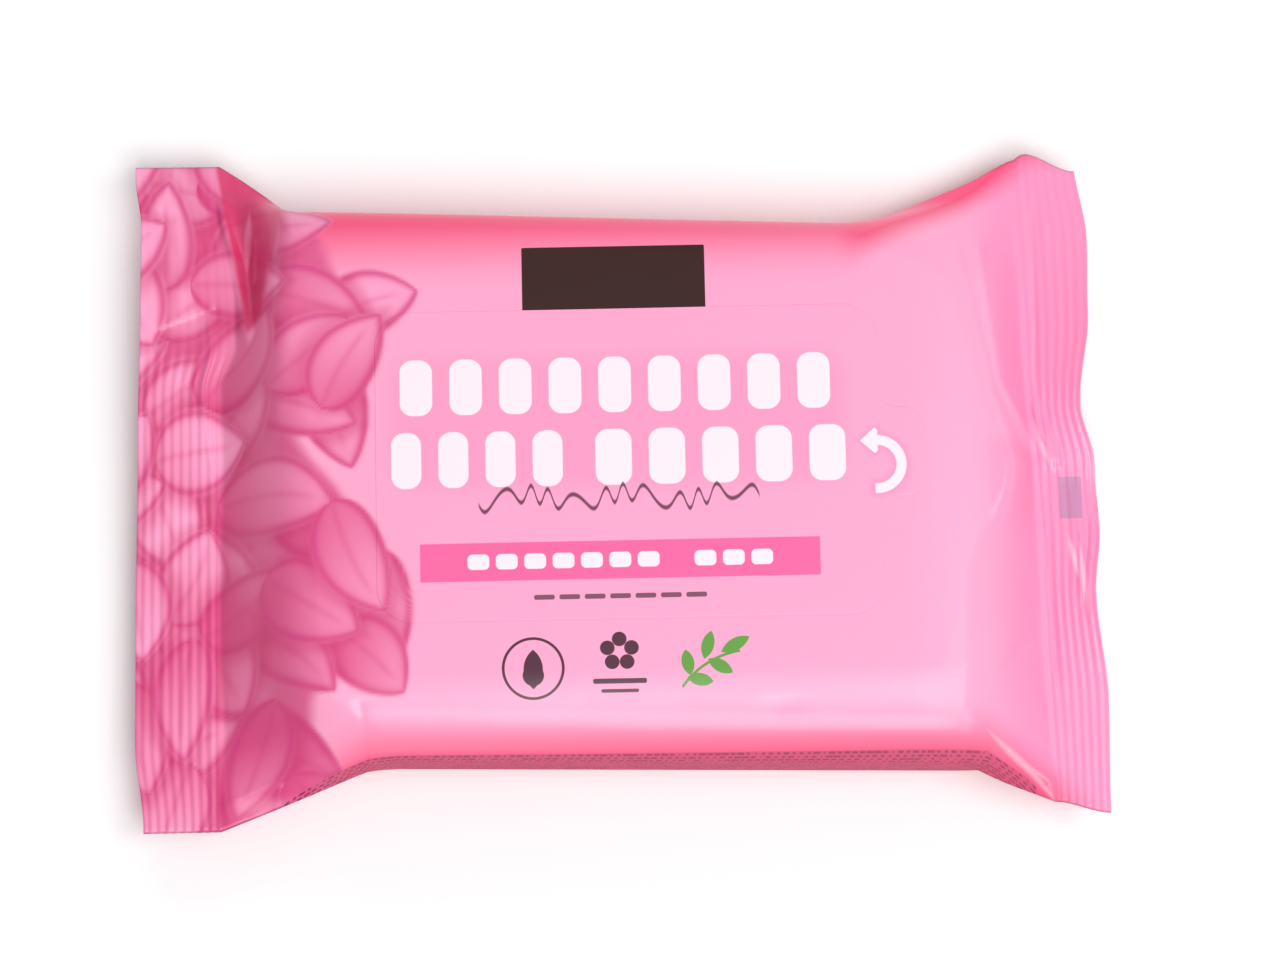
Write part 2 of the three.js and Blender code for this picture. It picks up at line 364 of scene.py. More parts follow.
@dataclass
class Film:
    """The sealed tube of film with the stack of wipes in it.

    label_clear is the label's outline as two x and two y, where the front has no dents. relief_fade,
    side_start and side_stop are each a place on the film and the width over which something is eased.
    The counts of stations and columns set how fine the mesh is.
    """

    length: float = 195.0
    height: float = 26.0
    stack_width: float = 111.0
    seal_width: float = 136.0
    front_radius: float = 9.0
    back_radius: float = 6.0
    far_turn: float = 0.045
    near_turn: float = 0.024
    stack_shift: float = 1.0
    softness: float = 0.3
    seal_height: float = 9.5
    seal_thickness: float = 0.5
    rib_pitch: float = 1.95
    rib_height: float = 0.6
    rib_clearance: float = 0.3
    seam_width: float = 11.0
    seam_thickness: float = 0.35
    seam_groove: float = 2.6
    offset: tuple[float, float] = (0.0, 0.0)
    label_clear: tuple[float, float, float, float] = (-47.7, 61.3, -29.6, 33.4)
    front_relief: FrontRelief = FrontRelief()
    relief_fade: tuple[float, float] = (60.5, 10.5)
    side_start: tuple[float, float] = (4.0, 15.0)
    side_stop: tuple[float, float] = (7.0, 16.0)
    side_pull: float = 0.75
    spread_power: float = 0.85
    lean_reach: float = 12.0
    dent_room: float = 0.8
    front_stations: int = 121
    side_stations: int = 14
    back_stations: int = 9
    left_columns: int = 98
    middle_columns: int = 28
    right_columns: int = 52
    middle_reach: tuple[float, float] = (-30.0, 46.0)
    columns_per_rib: int = 8

    def crease_x(self, end: PackEnd) -> float:
        """How far from the middle the slope of the film meets its seal."""
        return self.length / 2 - end.seal_depth

    @property
    def half_section(self) -> float:
        """The length of film from the middle of the front round one side to the middle of the back."""
        flats = self.stack_width - self.front_radius - self.back_radius
        side = self.height - self.front_radius - self.back_radius
        return flats + side + math.pi / 2 * (self.front_radius + self.back_radius)

    def section(self, reached: np.ndarray) -> tuple[np.ndarray, np.ndarray]:
        """The section through the stack: flat front, shoulder, straight side, round edge, flat back.

        Args:
            reached: The length of film from the middle of the front.

        Returns:
            The distance from the middle and the height.
        """
        half, front, back = self.stack_width / 2, self.front_radius, self.back_radius
        first = half - front
        second = first + math.pi / 2 * front
        third = second + self.height - front - back
        fourth = third + math.pi / 2 * back
        where = [reached <= first, reached <= second, reached <= third, reached <= fourth]
        one, two = (reached - first) / front, (reached - third) / back
        out = np.select(
            where,
            [reached, first + front * np.sin(one), half + 0 * reached, half - back + back * np.cos(two)],
            half - back - (reached - fourth),
        )
        up = np.select(
            where,
            [
                self.height + 0 * reached,
                self.height - front + front * np.cos(one),
                self.height - front - (reached - second),
                back - back * np.sin(two),
            ],
            0.0,
        )
        return out, up

    def side_share(self, station: np.ndarray) -> np.ndarray:
        """How far a station belongs to the side: eased up over the shoulder, down over the back edge.

        Args:
            station: Places round half the tube, 0 in the middle of the front and 1 in that of the back.

        Returns:
            The share, from 0 to 1.
        """
        reached = station * self.seal_width
        start = self.stack_width / 2 - self.front_radius
        stop = start + math.pi / 2 * (self.front_radius + self.back_radius)
        stop += self.height - self.front_radius - self.back_radius
        before, length = self.side_start
        up = ease((reached - start + before) / length)
        before, length = self.side_stop
        return up * (1 - ease((reached - stop + before) / length))

    def ribs(self, end: PackEnd, outward: np.ndarray) -> np.ndarray:
        """The wave of the ribs: a cosine of the depth over the pitch, faded out at the first and last.

        Args:
            end: The end that the seal is at.
            outward: The way out across the seal, 0 at its inner line and 1 at the cut edge.

        Returns:
            The height of the wave, from -1 to 1.
        """
        count = math.floor(end.seal_depth / self.rib_pitch - self.rib_clearance)
        margin = (end.seal_depth - count * self.rib_pitch) / 2
        within = (end.seal_depth * (1 - outward) - margin) / self.rib_pitch
        wave = -np.cos(2 * np.pi * within)
        fade = ease((within + 0.4) / 0.4) * ease((count + 0.4 - within) / 0.4)
        return wave * fade * (outward > 0)

    def dents(self, x: np.ndarray, y: np.ndarray) -> np.ndarray:
        """The sum of the hollows and creases, eased out under the label and along the seals.

        Args:
            x: Places along the pack.
            y: Places across the pack.

        Returns:
            The depth at each place.
        """
        low_x, high_x, low_y, high_y = self.label_clear
        clear = np.maximum(np.maximum(low_x - x, x - high_x), np.maximum(low_y - y, y - high_y))
        total = sum(dent.depth(x, y) for dent in (*HOLLOWS, *CREASES))
        crease_x = np.where(x < 0, self.crease_x(LEFT_END), self.crease_x(RIGHT_END))
        beside_label = ease((clear - 1) / 6)
        on_seal = ease((np.abs(x) - crease_x + 1) / 2)
        return total * beside_label * (1 - on_seal)

    def surface(self, x: np.ndarray, signed: np.ndarray) -> tuple[np.ndarray, np.ndarray]:
        """The film: the section through the stack, drawn flat towards each end by two ramps.

        The first ramp lets the film fall to the seal's height, and the second spreads it to the seal's width.

        Args:
            x: Distance along the pack.
            signed: Station round the tube, from 0 in the middle of the front to 1 or -1 in the middle of
                the back, positive on the far side.

        Returns:
            The points, and the length of film across the pack at each of them.
        """
        station = np.abs(signed)
        across = np.where(signed < 0, -1.0, 1.0)
        left = x < 0
        out, up = self.section(station * self.half_section)
        share = self.side_share(station)

        def of(choose: Callable[[PackEnd], float | np.ndarray]) -> np.ndarray:
            """A number of the end that each point belongs to."""
            return np.where(left, choose(LEFT_END), choose(RIGHT_END))

        towards = np.abs(x) - of(self.crease_x)
        outward = np.clip(towards / of(lambda end: end.seal_depth), 0, 1)
        front_run = of(lambda end: along(end.front_runs, across * out))
        side_run = np.where(across > 0, of(lambda end: end.far_run), of(lambda end: end.near_run))
        fall_run = front_run + (side_run - front_run) * share * self.side_pull
        fall = soft_ramp(1 + towards / fall_run, self.softness)
        spread_run = front_run + (side_run - front_run) * share
        spread = soft_ramp(1 + towards / spread_run, self.softness / 2) ** self.spread_power

        flat_y = np.minimum(station, 1 - station) * self.seal_width
        far_in = of(lambda end: along(end.far_in, outward))
        near_in = of(lambda end: along(end.near_in, outward))
        corner = ease(2 * flat_y / self.seal_width)
        drawn = across * np.where(across > 0, far_in, near_in) * spread * corner
        turn = self.near_turn + (self.far_turn - self.near_turn) * (0.5 + across * out / self.stack_width)
        moved = (turn * x + self.stack_shift) * (1 - spread)
        y = across * (out + (flat_y - out) * spread) - moved - drawn

        front = station < 0.5
        on_edge = np.abs(station - 0.5) < 1e-9
        place = across * flat_y
        on_seam = ~front & (place > -1e-6) & (place < self.seam_width * 1.03)
        beyond = np.maximum(across * out - self.seam_width, -across * out)
        groove = np.where((beyond >= 0) & (beyond < self.seam_groove), 1 - beyond / self.seam_groove, 0.0)
        stack_z = up + np.where(front, 0.0, self.seam_thickness * groove * bump(up, 1.0))
        layer = np.where(front, 1.0, -1.0) * self.seal_thickness / 2
        layer = layer - np.where(on_seam, self.seam_thickness, 0.0)
        ribs = of(lambda end: self.ribs(end, outward) * along(end.rib_share, y)) * self.rib_height / 2
        flat_z = self.seal_height + np.where(on_edge, 0.0, layer) + ribs
        crinkled = sum(crinkle.depth(x, y) for crinkle in CRINKLES) * ease(outward * 6)
        z = stack_z + (flat_z - stack_z) * fall + of(lambda end: end.curl_rise(y, outward)) - crinkled
        room = self.dent_room * (1 - fall) * (up - self.section((1 - station) * self.half_section)[1])
        dent = np.minimum(self.dents(x, y) * (1 - share * (1 - spread)), room)
        z = z - np.where(front & ~on_edge, dent, 0.0)
        fade_start, fade_width = self.relief_fade
        lies = 1 - ease((station * self.half_section - fade_start) / fade_width)
        z = z - self.front_relief.depth(x, y) * lies * (1 - fall)
        lean = (1 - outward) * ease(1 + towards / self.lean_reach)
        edge_in = of(lambda end: end.side * (along(end.edge, y) * outward + along(end.inner_line, y) * lean))
        points = np.stack([x - edge_in + self.offset[0], y + self.offset[1], z], -1)
        return points, across * station * self.half_section - moved

    def stations(self) -> np.ndarray:
        """Places round the tube: close together on the front, wide apart on the back.

        Returns:
            Stations from -1 to just under 1, with lines on both sides of the seam and of its groove.
        """
        total = self.half_section
        front = np.linspace(0.0, 0.5, self.front_stations)
        bend = (self.stack_width / 2 - self.back_radius) / total
        side = np.linspace(0.5, 1 - bend, self.side_stations)
        seam = (self.seam_width + self.seam_groove) / total
        back = np.linspace(1 - bend, 1 - seam, self.back_stations)
        lines = np.array([self.seam_groove, self.seam_width, self.seam_width + self.seam_thickness / 2])
        lines = np.concatenate([lines, self.seam_thickness / 2 * np.array([0.5, 1.0, 2.0])])
        half = np.unique(np.concatenate([front, side, back, 1 - lines / total, [1.0]]).round(9))
        return np.concatenate([-half[::-1], half[1:-1]])

    def columns(self) -> np.ndarray:
        """Places along the pack: close together on the ribs, the slopes and the printed leaves.

        Returns:
            Distances from the left cut edge to the right one, 0 in the middle.
        """

        def seal(end: PackEnd) -> np.ndarray:
            """Distances across a seal, some to each rib, from its inner line to the cut edge."""
            steps = round(self.columns_per_rib * end.seal_depth / self.rib_pitch)
            return np.linspace(self.crease_x(end), self.length / 2, steps + 1)

        low, high = self.middle_reach
        left = np.linspace(low, -self.crease_x(LEFT_END), self.left_columns)
        right = np.linspace(high, self.crease_x(RIGHT_END), self.right_columns)
        middle = np.linspace(low, high, self.middle_columns)
        parts = (-seal(LEFT_END)[1:][::-1], left[::-1], middle[1:-1], right, seal(RIGHT_END)[1:])
        return np.concatenate(parts)

    def centre_on(self, box: tuple[Vector, Vector]) -> None:
        """Moves the film so that the middle of its outline is over the middle of a box.

        Args:
            box: Two corners in metres.
        """
        trial, _ = self.surface(*np.meshgrid(self.columns(), self.stations(), indexing="ij"))
        middle = (trial[..., :2].min((0, 1)) + trial[..., :2].max((0, 1))) / 2
        low, high = box
        wanted = np.array([(low[i] + high[i]) / 2 / MM for i in (0, 1)])
        self.offset = tuple((wanted - middle).tolist())

    def build(self, material: bpy.types.Material, leaves: "PaintedLeaves") -> bpy.types.Object:
        """Lofts the film along the pack and closes both cut edges.

        Args:
            material: The printed film's finish.
            leaves: The leaves painted on its left end.

        Returns:
            The film's piece.
        """
        stations, columns = self.stations(), self.columns()
        rows, count = len(stations), len(columns)
        grid_x, grid_s = np.meshgrid(columns, stations, indexing="ij")
        points, girth = self.surface(grid_x, grid_s)
        last = girth[:, :1] + 2 * self.half_section
        girth = np.concatenate([girth, last], 1)
        place = np.concatenate([points[:, :, 0], points[:, :1, 0]], 1)
        column, row = np.meshgrid(np.arange(count - 1), np.arange(rows), indexing="ij")
        line, after = column * rows, (row + 1) % rows
        quads = np.stack([line + row, line + rows + row, line + rows + after, line + after], -1)
        steps = ((0, 0), (1, 0), (1, 1), (0, 1))
        film_places = np.stack([place, girth], -1)
        uv = np.stack([film_places[column + i, row + j] for i, j in steps], -2)
        caps = [self.cap(stations, 0, False), self.cap(stations, (count - 1) * rows, True)]
        cap_uv = [points.reshape(-1, 3)[cap][..., :2] for cap in caps]
        return add_mesh(
            "printed_film",
            points.reshape(-1, 3),
            np.concatenate([quads.reshape(-1, 4), *caps]),
            np.concatenate([uv.reshape(-1, 4, 2), *cap_uv]),
            leaves.paint(grid_x.ravel(), girth[:, :-1].ravel()),
            material,
        )

    def cap(self, stations: np.ndarray, first: int, outward: bool) -> np.ndarray:
        """Faces across a cut edge.

        Both layers' points are put in one order across the pack, and each is joined to the last one of its
        own layer and the last one of the other.

        Args:
            stations: The stations of one section.
            first: The number of the section's first point.
            outward: True at the end where the section is seen the other way round.

        Returns:
            Rows of four point numbers, the last one repeated.
        """
        in_front = np.abs(stations) <= 0.5
        place = np.where(in_front, stations, np.sign(stations) * (1 - np.abs(stations)))
        order = np.argsort(place, kind="stable")
        step = np.arange(len(order))
        last_front = np.maximum.accumulate(np.where(in_front[order], step, 0))
        last_back = np.maximum.accumulate(np.where(in_front[order], 0, step))
        faces = np.stack([order[last_front[:-1]], order[1:], order[last_back[:-1]]], -1)[1:]
        if outward:
            faces = faces[:, ::-1]
        return np.concatenate([faces, faces[:, -1:]], 1) + first


# The label.


@dataclass
class Label:
    """The peel-open label: a rounded sheet with a lift tab, stuck on the front of the film."""

    film: Film
    length: float = 100.0
    width: float = 63.0
    radius: float = 7.0
    centre: tuple[float, float] = (2.3, 1.9)
    tab_reach: float = 9.0
    tab_width: float = 18.0
    tab_radius: float = 4.0
    tab_shift: float = 1.1
    thickness: float = 0.09
    sunk: float = 0.02
    outline_pitch: float = 0.7
    arc_points: int = 40
    ring_count: int = 44
    ring_power: float = 1.4
    edge_roll: Table = ((0.12, 0.0), (0.03, 0.35), (0.0, 0.7), (0.05, 0.9), (0.14, 1.0))

    def outline(self) -> np.ndarray:
        """The outline: arcs and the straight lines between them.

        Returns:
            Evenly spaced points, counter-clockwise round the label's middle.
        """
        right, top, r, t = self.length / 2, self.width / 2, self.radius, self.tab_radius
        tab_top, tab_foot = self.tab_shift + self.tab_width / 2, self.tab_shift - self.tab_width / 2
        arcs = (
            (right - r, -top + r, r, -90, 0),
            (right + t, tab_foot - t, t, 180, 90),
            (right + self.tab_reach - t, tab_foot + t, t, -90, 0),
            (right + self.tab_reach - t, tab_top - t, t, 0, 90),
            (right + t, tab_top + t, t, 270, 180),
            (right - r, top - r, r, 0, 90),
            (-right + r, top - r, r, 90, 180),
            (-right + r, -top + r, r, 180, 270),
        )
        x, y, radius, start, stop = (column[:, None] for column in np.array(arcs, float).T)
        turn = np.radians(start + (stop - start) * np.linspace(0, 1, self.arc_points))
        corners = np.stack([x + radius * np.cos(turn), y + radius * np.sin(turn)], -1).reshape(-1, 2)
        closed = np.concatenate([corners, corners[:1]])
        reached = np.concatenate([[0], np.cumsum(np.linalg.norm(np.diff(closed, axis=0), axis=1))])
        wanted = np.linspace(0, reached[-1], round(reached[-1] / self.outline_pitch), endpoint=False)
        return np.stack([np.interp(wanted, reached, closed[:, i]) for i in (0, 1)], -1)

    def build(self, material: bpy.types.Material, leaves: "PaintedLeaves") -> bpy.types.Object:
        """A polar grid over the label: each ring is the outline drawn in towards the middle.

        The outer rings follow edge_roll, how far each is drawn in and its share of the thickness.

        Args:
            material: The printed label's finish.
            leaves: The leaves painted on the film, which run on over the label.

        Returns:
            The label's piece.
        """
        edge = self.outline()
        count = len(edge)
        run = np.roll(edge, -1, 0) - np.roll(edge, 1, 0)
        normal = np.stack([run[:, 1], -run[:, 0]], -1) / np.linalg.norm(run, axis=1, keepdims=True)
        rings = [edge - normal * draw for draw, _ in self.edge_roll]
        levels = [share for _, share in self.edge_roll]
        inner = edge - normal * self.edge_roll[-1][0]
        shares = 1 - np.linspace(0, 1, self.ring_count)[1:-1] ** self.ring_power
        rings += [inner * share for share in shares] + [np.zeros((1, 2))]
        levels += [1.0] * (len(shares) + 1)
        flat = np.concatenate(rings) + np.array(self.centre)
        level = np.concatenate([np.full(len(ring), share) for ring, share in zip(rings, levels)])
        x, y = flat[:, 0], flat[:, 1]
        foot = self.film.height - self.film.front_relief.depth(x, y) - self.sunk
        z = foot + (self.thickness + self.sunk) * level
        points = np.stack([x + self.film.offset[0], y + self.film.offset[1], z], -1)
        tip = len(points) - 1
        foot_middle = self.film.height - self.film.front_relief.depth(0.0, 0.0) - self.sunk
        points = np.concatenate([points, [[*points[tip, :2], foot_middle]]])

        ring, step = np.meshgrid(np.arange(len(rings) - 2), np.arange(count), indexing="ij")
        outer, inward, after = ring * count, (ring + 1) * count, (step + 1) % count
        quads = np.stack([outer + step, outer + after, inward + after, inward + step], -1)
        last, one, two = (len(rings) - 2) * count, step[0], after[0]
        tips, feet = np.full(count, tip), np.full(count, tip + 1)
        fan = np.stack([last + one, last + two, tips, tips], -1)
        under = np.stack([two, one, feet, feet], -1)
        faces = np.concatenate([quads.reshape(-1, 4), fan, under])
        place = points[:, :2] - np.array(self.film.offset)
        paint = leaves.paint(place[:, 0], place[:, 1])
        return add_mesh("peel_label", points, faces, place[faces], paint, material)


# Colour fields.


class Field:
    """A number that changes over the surface: a shader socket that arithmetic can be done with."""

    def __init__(self, tree: bpy.types.NodeTree, socket: bpy.types.NodeSocket) -> None:
        """Keeps the node tree and the socket."""
        self.tree = tree
        self.socket = socket

    def _do(self, operation: str, *others: "Field | float", clamp: bool = False) -> "Field":
        """One Math node with this field first.

        Args:
            operation: The Math node's operation.
            others: The node's other inputs.
            clamp: Whether the result is held between 0 and 1.

        Returns:
            The node's output.
        """
        node = self.tree.nodes.new("ShaderNodeMath")
        node.operation = operation
        node.use_clamp = clamp
        self.tree.links.new(self.socket, node.inputs[0])
        for index, other in enumerate(others, 1):
            if isinstance(other, Field):
                self.tree.links.new(other.socket, node.inputs[index])
            else:
                node.inputs[index].default_value = float(other)
        return Field(self.tree, node.outputs[0])

    def __add__(self, other: "Field | float") -> "Field":
        """The sum."""
        return self._do("ADD", other)

    def __sub__(self, other: "Field | float") -> "Field":
        """The difference."""
        return self._do("SUBTRACT", other)

    def __mul__(self, other: "Field | float") -> "Field":
        """The product."""
        return self._do("MULTIPLY", other)

    def __truediv__(self, other: "Field | float") -> "Field":
        """The quotient."""
        return self._do("DIVIDE", other)

    def __neg__(self) -> "Field":
        """The opposite."""
        return self._do("MULTIPLY", -1.0)

    def abs(self) -> "Field":
        """The value without its sign."""
        return self._do("ABSOLUTE")

    def floor(self) -> "Field":
        """The whole number below."""
        return self._do("FLOOR")

    def sin(self) -> "Field":
        """The sine of the value in radians."""
        return self._do("SINE")

    def root(self) -> "Field":
        """The square root."""
        return self._do("SQRT")

    def lower(self, other: "Field | float") -> "Field":
        """The lower of two values."""
        return self._do("MINIMUM", other)

    def higher(self, other: "Field | float") -> "Field":
        """The higher of two values."""
        return self._do("MAXIMUM", other)

    def held(self) -> "Field":
        """The value held between 0 and 1."""
        return self._do("ADD", 0.0, clamp=True)

    def inside(self, soft: float = 0.12) -> "Field":
        """1 where this distance is negative and 0 where it is positive, with a soft edge between."""
        return self._do("MULTIPLY_ADD", -1.0 / soft, 0.5, clamp=True)

    def eased(self, start: float, stop: float) -> "Field":
        """An eased step.

        Args:
            start: Where the step begins.
            stop: Where it ends.

        Returns:
            0 up to start and 1 from stop, eased between them.
        """
        node = self.tree.nodes.new("ShaderNodeMapRange")
        node.interpolation_type = "SMOOTHSTEP"
        self.tree.links.new(self.socket, node.inputs["Value"])
        node.inputs["From Min"].default_value = start
        node.inputs["From Max"].default_value = stop
        return Field(self.tree, node.outputs[0])


@dataclass
class Sheet:
    """Places on the printed film, in millimetres, with the shapes that can be drawn there."""

    tree: bpy.types.NodeTree
    x: Field
    y: Field
    place: bpy.types.NodeSocket | None = None

    def moved(self, x: float, y: float) -> "Sheet":
        """The same sheet measured from another place."""
        return Sheet(self.tree, self.x - x, self.y - y)

    def reach(self) -> Field:
        """The distance from the sheet's zero."""
        return (self.x * self.x + self.y * self.y).root()

    def away(self, x: float, y: float) -> Field:
        """The distance from a place on the whole film.

        Args:
            x: The place along the pack.
            y: The place across it.

        Returns:
            The distance.
        """
        node = self.tree.nodes.new("ShaderNodeVectorMath")
        node.operation = "DISTANCE"
        self.tree.links.new(self.place, node.inputs[0])
        node.inputs[1].default_value = (x, y, 0.0)
        return Field(self.tree, node.outputs["Value"])

    def blade(self, x: float, y: float, turn: float, half_length: float, half_width: float) -> Field:
        """The distance to a leaf with two pointed tips: where two equal circles cover each other.

        Args:
            x: The leaf's middle.
            y: The leaf's middle.
            turn: The turn of its length from x, in degrees.
            half_length: Half of its length.
            half_width: Half of its width.

        Returns:
            The distance, negative inside the leaf.
        """
        radius = (half_length**2 + half_width**2) / (2 * half_width)
        off = radius - half_width
        c, s = math.cos(math.radians(turn)), math.sin(math.radians(turn))
        return self.away(x - off * s, y + off * c).higher(self.away(x + off * s, y - off * c)) - radius

    def box(self, wide: "Field | float", high: float, radius: float) -> Field:
        """The distance to a rounded rectangle round zero.

        Args:
            wide: Its size along x.
            high: Its size along y.
            radius: The radius of its corners.

        Returns:
            The distance, negative inside the rectangle.
        """
        wide_half = wide * 0.5 if isinstance(wide, Field) else wide / 2
        dx = (self.x.abs() - (wide_half - radius)).higher(0.0)
        dy = (self.y.abs() - (high / 2 - radius)).higher(0.0)
        return (dx * dx + dy * dy).root() - radius

    def cells(self, wide: "Field | float", count: int) -> tuple[Field, "Sheet"]:
        """Equal cells side by side over a width round zero.

        Args:
            wide: The width of them all.
            count: How many there are.

        Returns:
            The number of each place's cell, from 0 at the left, and the sheet measured from its middle.
        """
        pitch = wide / count
        cell = (self.x / pitch) + count / 2
        number = cell.floor()
        return number, Sheet(self.tree, (cell - number - 0.5) * pitch, self.y)


class Painter:
    """Lays one colour over another inside a node tree."""

    def __init__(self, tree: bpy.types.NodeTree, ground: bpy.types.NodeSocket) -> None:
        """Starts from a ground colour."""
        self.tree = tree
        self.colour = ground

    def lay(self, colour: "Colour | bpy.types.NodeSocket", share: Field) -> None:
        """Mixes a colour over what is there.

        Args:
            colour: The ink, as a value or a socket.
            share: How much of it covers, from 0 to 1.
        """
        node = self.tree.nodes.new("ShaderNodeMix")
        node.data_type = "RGBA"
        self.tree.links.new(share.socket, node.inputs["Factor"])
        self.tree.links.new(self.colour, node.inputs[6])
        if isinstance(colour, tuple):
            node.inputs[7].default_value = colour
        else:
            self.tree.links.new(colour, node.inputs[7])
        self.colour = node.outputs[2]


def new_group(name: str, inputs: Sockets, outputs: Sockets) -> bpy.types.NodeTree:
    """A shader node group with named sockets.

    Args:
        name: The group's name.
        inputs: Socket names and kinds.
        outputs: Socket names and kinds.

    Returns:
        The group with its input and output nodes.
    """
    group = bpy.data.node_groups.new(name, "ShaderNodeTree")
    for direction, sockets in (("INPUT", inputs), ("OUTPUT", outputs)):
        for socket, kind in sockets:
            group.interface.new_socket(name=socket, in_out=direction, socket_type=kind)
    group.nodes.new("NodeGroupInput")
    group.nodes.new("NodeGroupOutput")
    return group


def split(tree: bpy.types.NodeTree, vector: bpy.types.NodeSocket) -> Sheet:
    """The first two parts of a vector socket as a sheet."""
    node = tree.nodes.new("ShaderNodeSeparateXYZ")
    tree.links.new(vector, node.inputs[0])
    return Sheet(tree, Field(tree, node.outputs[0]), Field(tree, node.outputs[1]), vector)


def film_position(tree: bpy.types.NodeTree) -> bpy.types.NodeSocket:
    """Reads the place on the film from the piece's own UV map.

    Args:
        tree: The material's node tree.

    Returns:
        A vector in millimetres, x along the pack and y round the tube.
    """
    uv = tree.nodes.new("ShaderNodeUVMap")
    uv.uv_map = "Film"
    less = tree.nodes.new("ShaderNodeVectorMath")
    less.operation = "SUBTRACT"
    less.inputs[1].default_value = (0.5, 0.5, 0.0)
    tree.links.new(uv.outputs[0], less.inputs[0])
    scale = tree.nodes.new("ShaderNodeVectorMath")
    scale.operation = "SCALE"
    scale.inputs["Scale"].default_value = UV_SPAN
    tree.links.new(less.outputs[0], scale.inputs[0])
    return scale.outputs[0]


class Ink(Enum):
    """The inks of the print, and the colours of painted shade and painted highlights, as they are written on
    screen.
    """

    FILM = "fba3c7"
    # a deeper pink: partly the film with no wipes under it and partly painted shade on the end slopes; also
    # the colour of a painted glint in the left fold
    SLOPE_PINK = "fa92bd"
    # painted shade: the redder pink down the far and near sides, where the film turns away from the light
    SIDE_SHADE = "f23e6e"
    SIDE_PRINT_AND_SHADE = "c85474"
    # painted shade: the deep pink inside the far left fold
    FOLD_SHADE = "d22e66"
    # painted shade: the coral strip along the far right outline, where the far side is seen edge on
    OUTLINE_SHADE = "fb5886"
    # the ground of the near side's rows: partly the fine print's own colour, partly painted shade on the near
    # wall
    PALE = "f8e6ee"
    GLOW = "ec80b2"
    BAND = "fb65a0"
    DARK = "2e0402"
    TEXT = "4b1e32"
    GREEN = "5f9a3c"
    MARK = "c88ab2"
    LEAF_PALE = "fb9fc6"
    LEAF_DEEP = "da4a82"
    LEAF_LINE = "d0387a"
    LEAF_GROUND = "dd5a90"
    SHADE = "c9306a"

    @property
    def colour(self) -> Colour:
        """The ink as linear values."""
        return tint(self.value)


@dataclass(frozen=True)
class Leaf:
    """One printed leaf. Its turn is in radians, and its tone goes from deep at 0 to pale at 1."""

    x: float
    y: float
    turn: float
    half_length: float
    half_width: float
    bend: float
    tone: float

    def lay(self, x: np.ndarray, y: np.ndarray, below: np.ndarray) -> np.ndarray:
        """Lays the leaf over what is painted so far.

        The leaf's edge is an arch, one less the square of the way along it, to a power, so that its base
        is round and its tip pointed. Its tone grows paler towards the tip. A rim and a midrib are drawn
        in the line's ink, and the leaf shades what it covers in part.

        Args:
            x: Places along the pack.
            y: Places across the pack.
            below: Colour times cover, and cover, at those places.

        Returns:
            The same with the leaf's shade, body, rim and midrib over it.
        """
        dx, dy = x - self.x, y - self.y
        forth = (dx * math.cos(self.turn) + dy * math.sin(self.turn)) / self.half_length
        over = (dy * math.cos(self.turn) - dx * math.sin(self.turn)) / self.half_width
        middle = over + (forth * forth - 0.4) * self.bend
        arch = np.maximum(1 - forth * forth, 0) ** np.where(forth > 0, 0.75, 0.5) * (1 - 0.16 * forth)
        gap = (np.abs(middle) - arch + np.maximum(np.abs(forth) - 1, 0) * 1.6) * self.half_width
        body = ease(0.5 - gap / 1.3)
        to_tip, to_side = ease((forth + 1) / 1.8), ease((middle + 1) / 2)
        light = np.clip(self.tone + 0.5 * to_tip + 0.22 * to_side - 0.4, 0, 1)[:, None]
        fill = np.array(Ink.LEAF_DEEP.colour) * (1 - light) + np.array(Ink.LEAF_PALE.colour) * light
        rim = 0.6 * bump(gap + 0.9, 0.95) + 0.25 * ease(1 + gap / 4.5)
        rib = 0.3 * bump(middle * self.half_width, 0.7) * ease((0.9 - forth) / 0.6)
        line = np.clip(np.maximum(rim, rib), 0, 1)[:, None]
        fill = fill * (1 - line) + np.array(Ink.LEAF_LINE.colour) * line
        shade = (0.45 * ease(1 - gap / 4.5) * ease((forth + 1.6) / 1.2))[:, None] * below[:, 3:]
        below = below * (1 - shade) + np.array(Ink.SHADE.colour) * shade
        return below * (1 - body[:, None]) + fill * body[:, None]


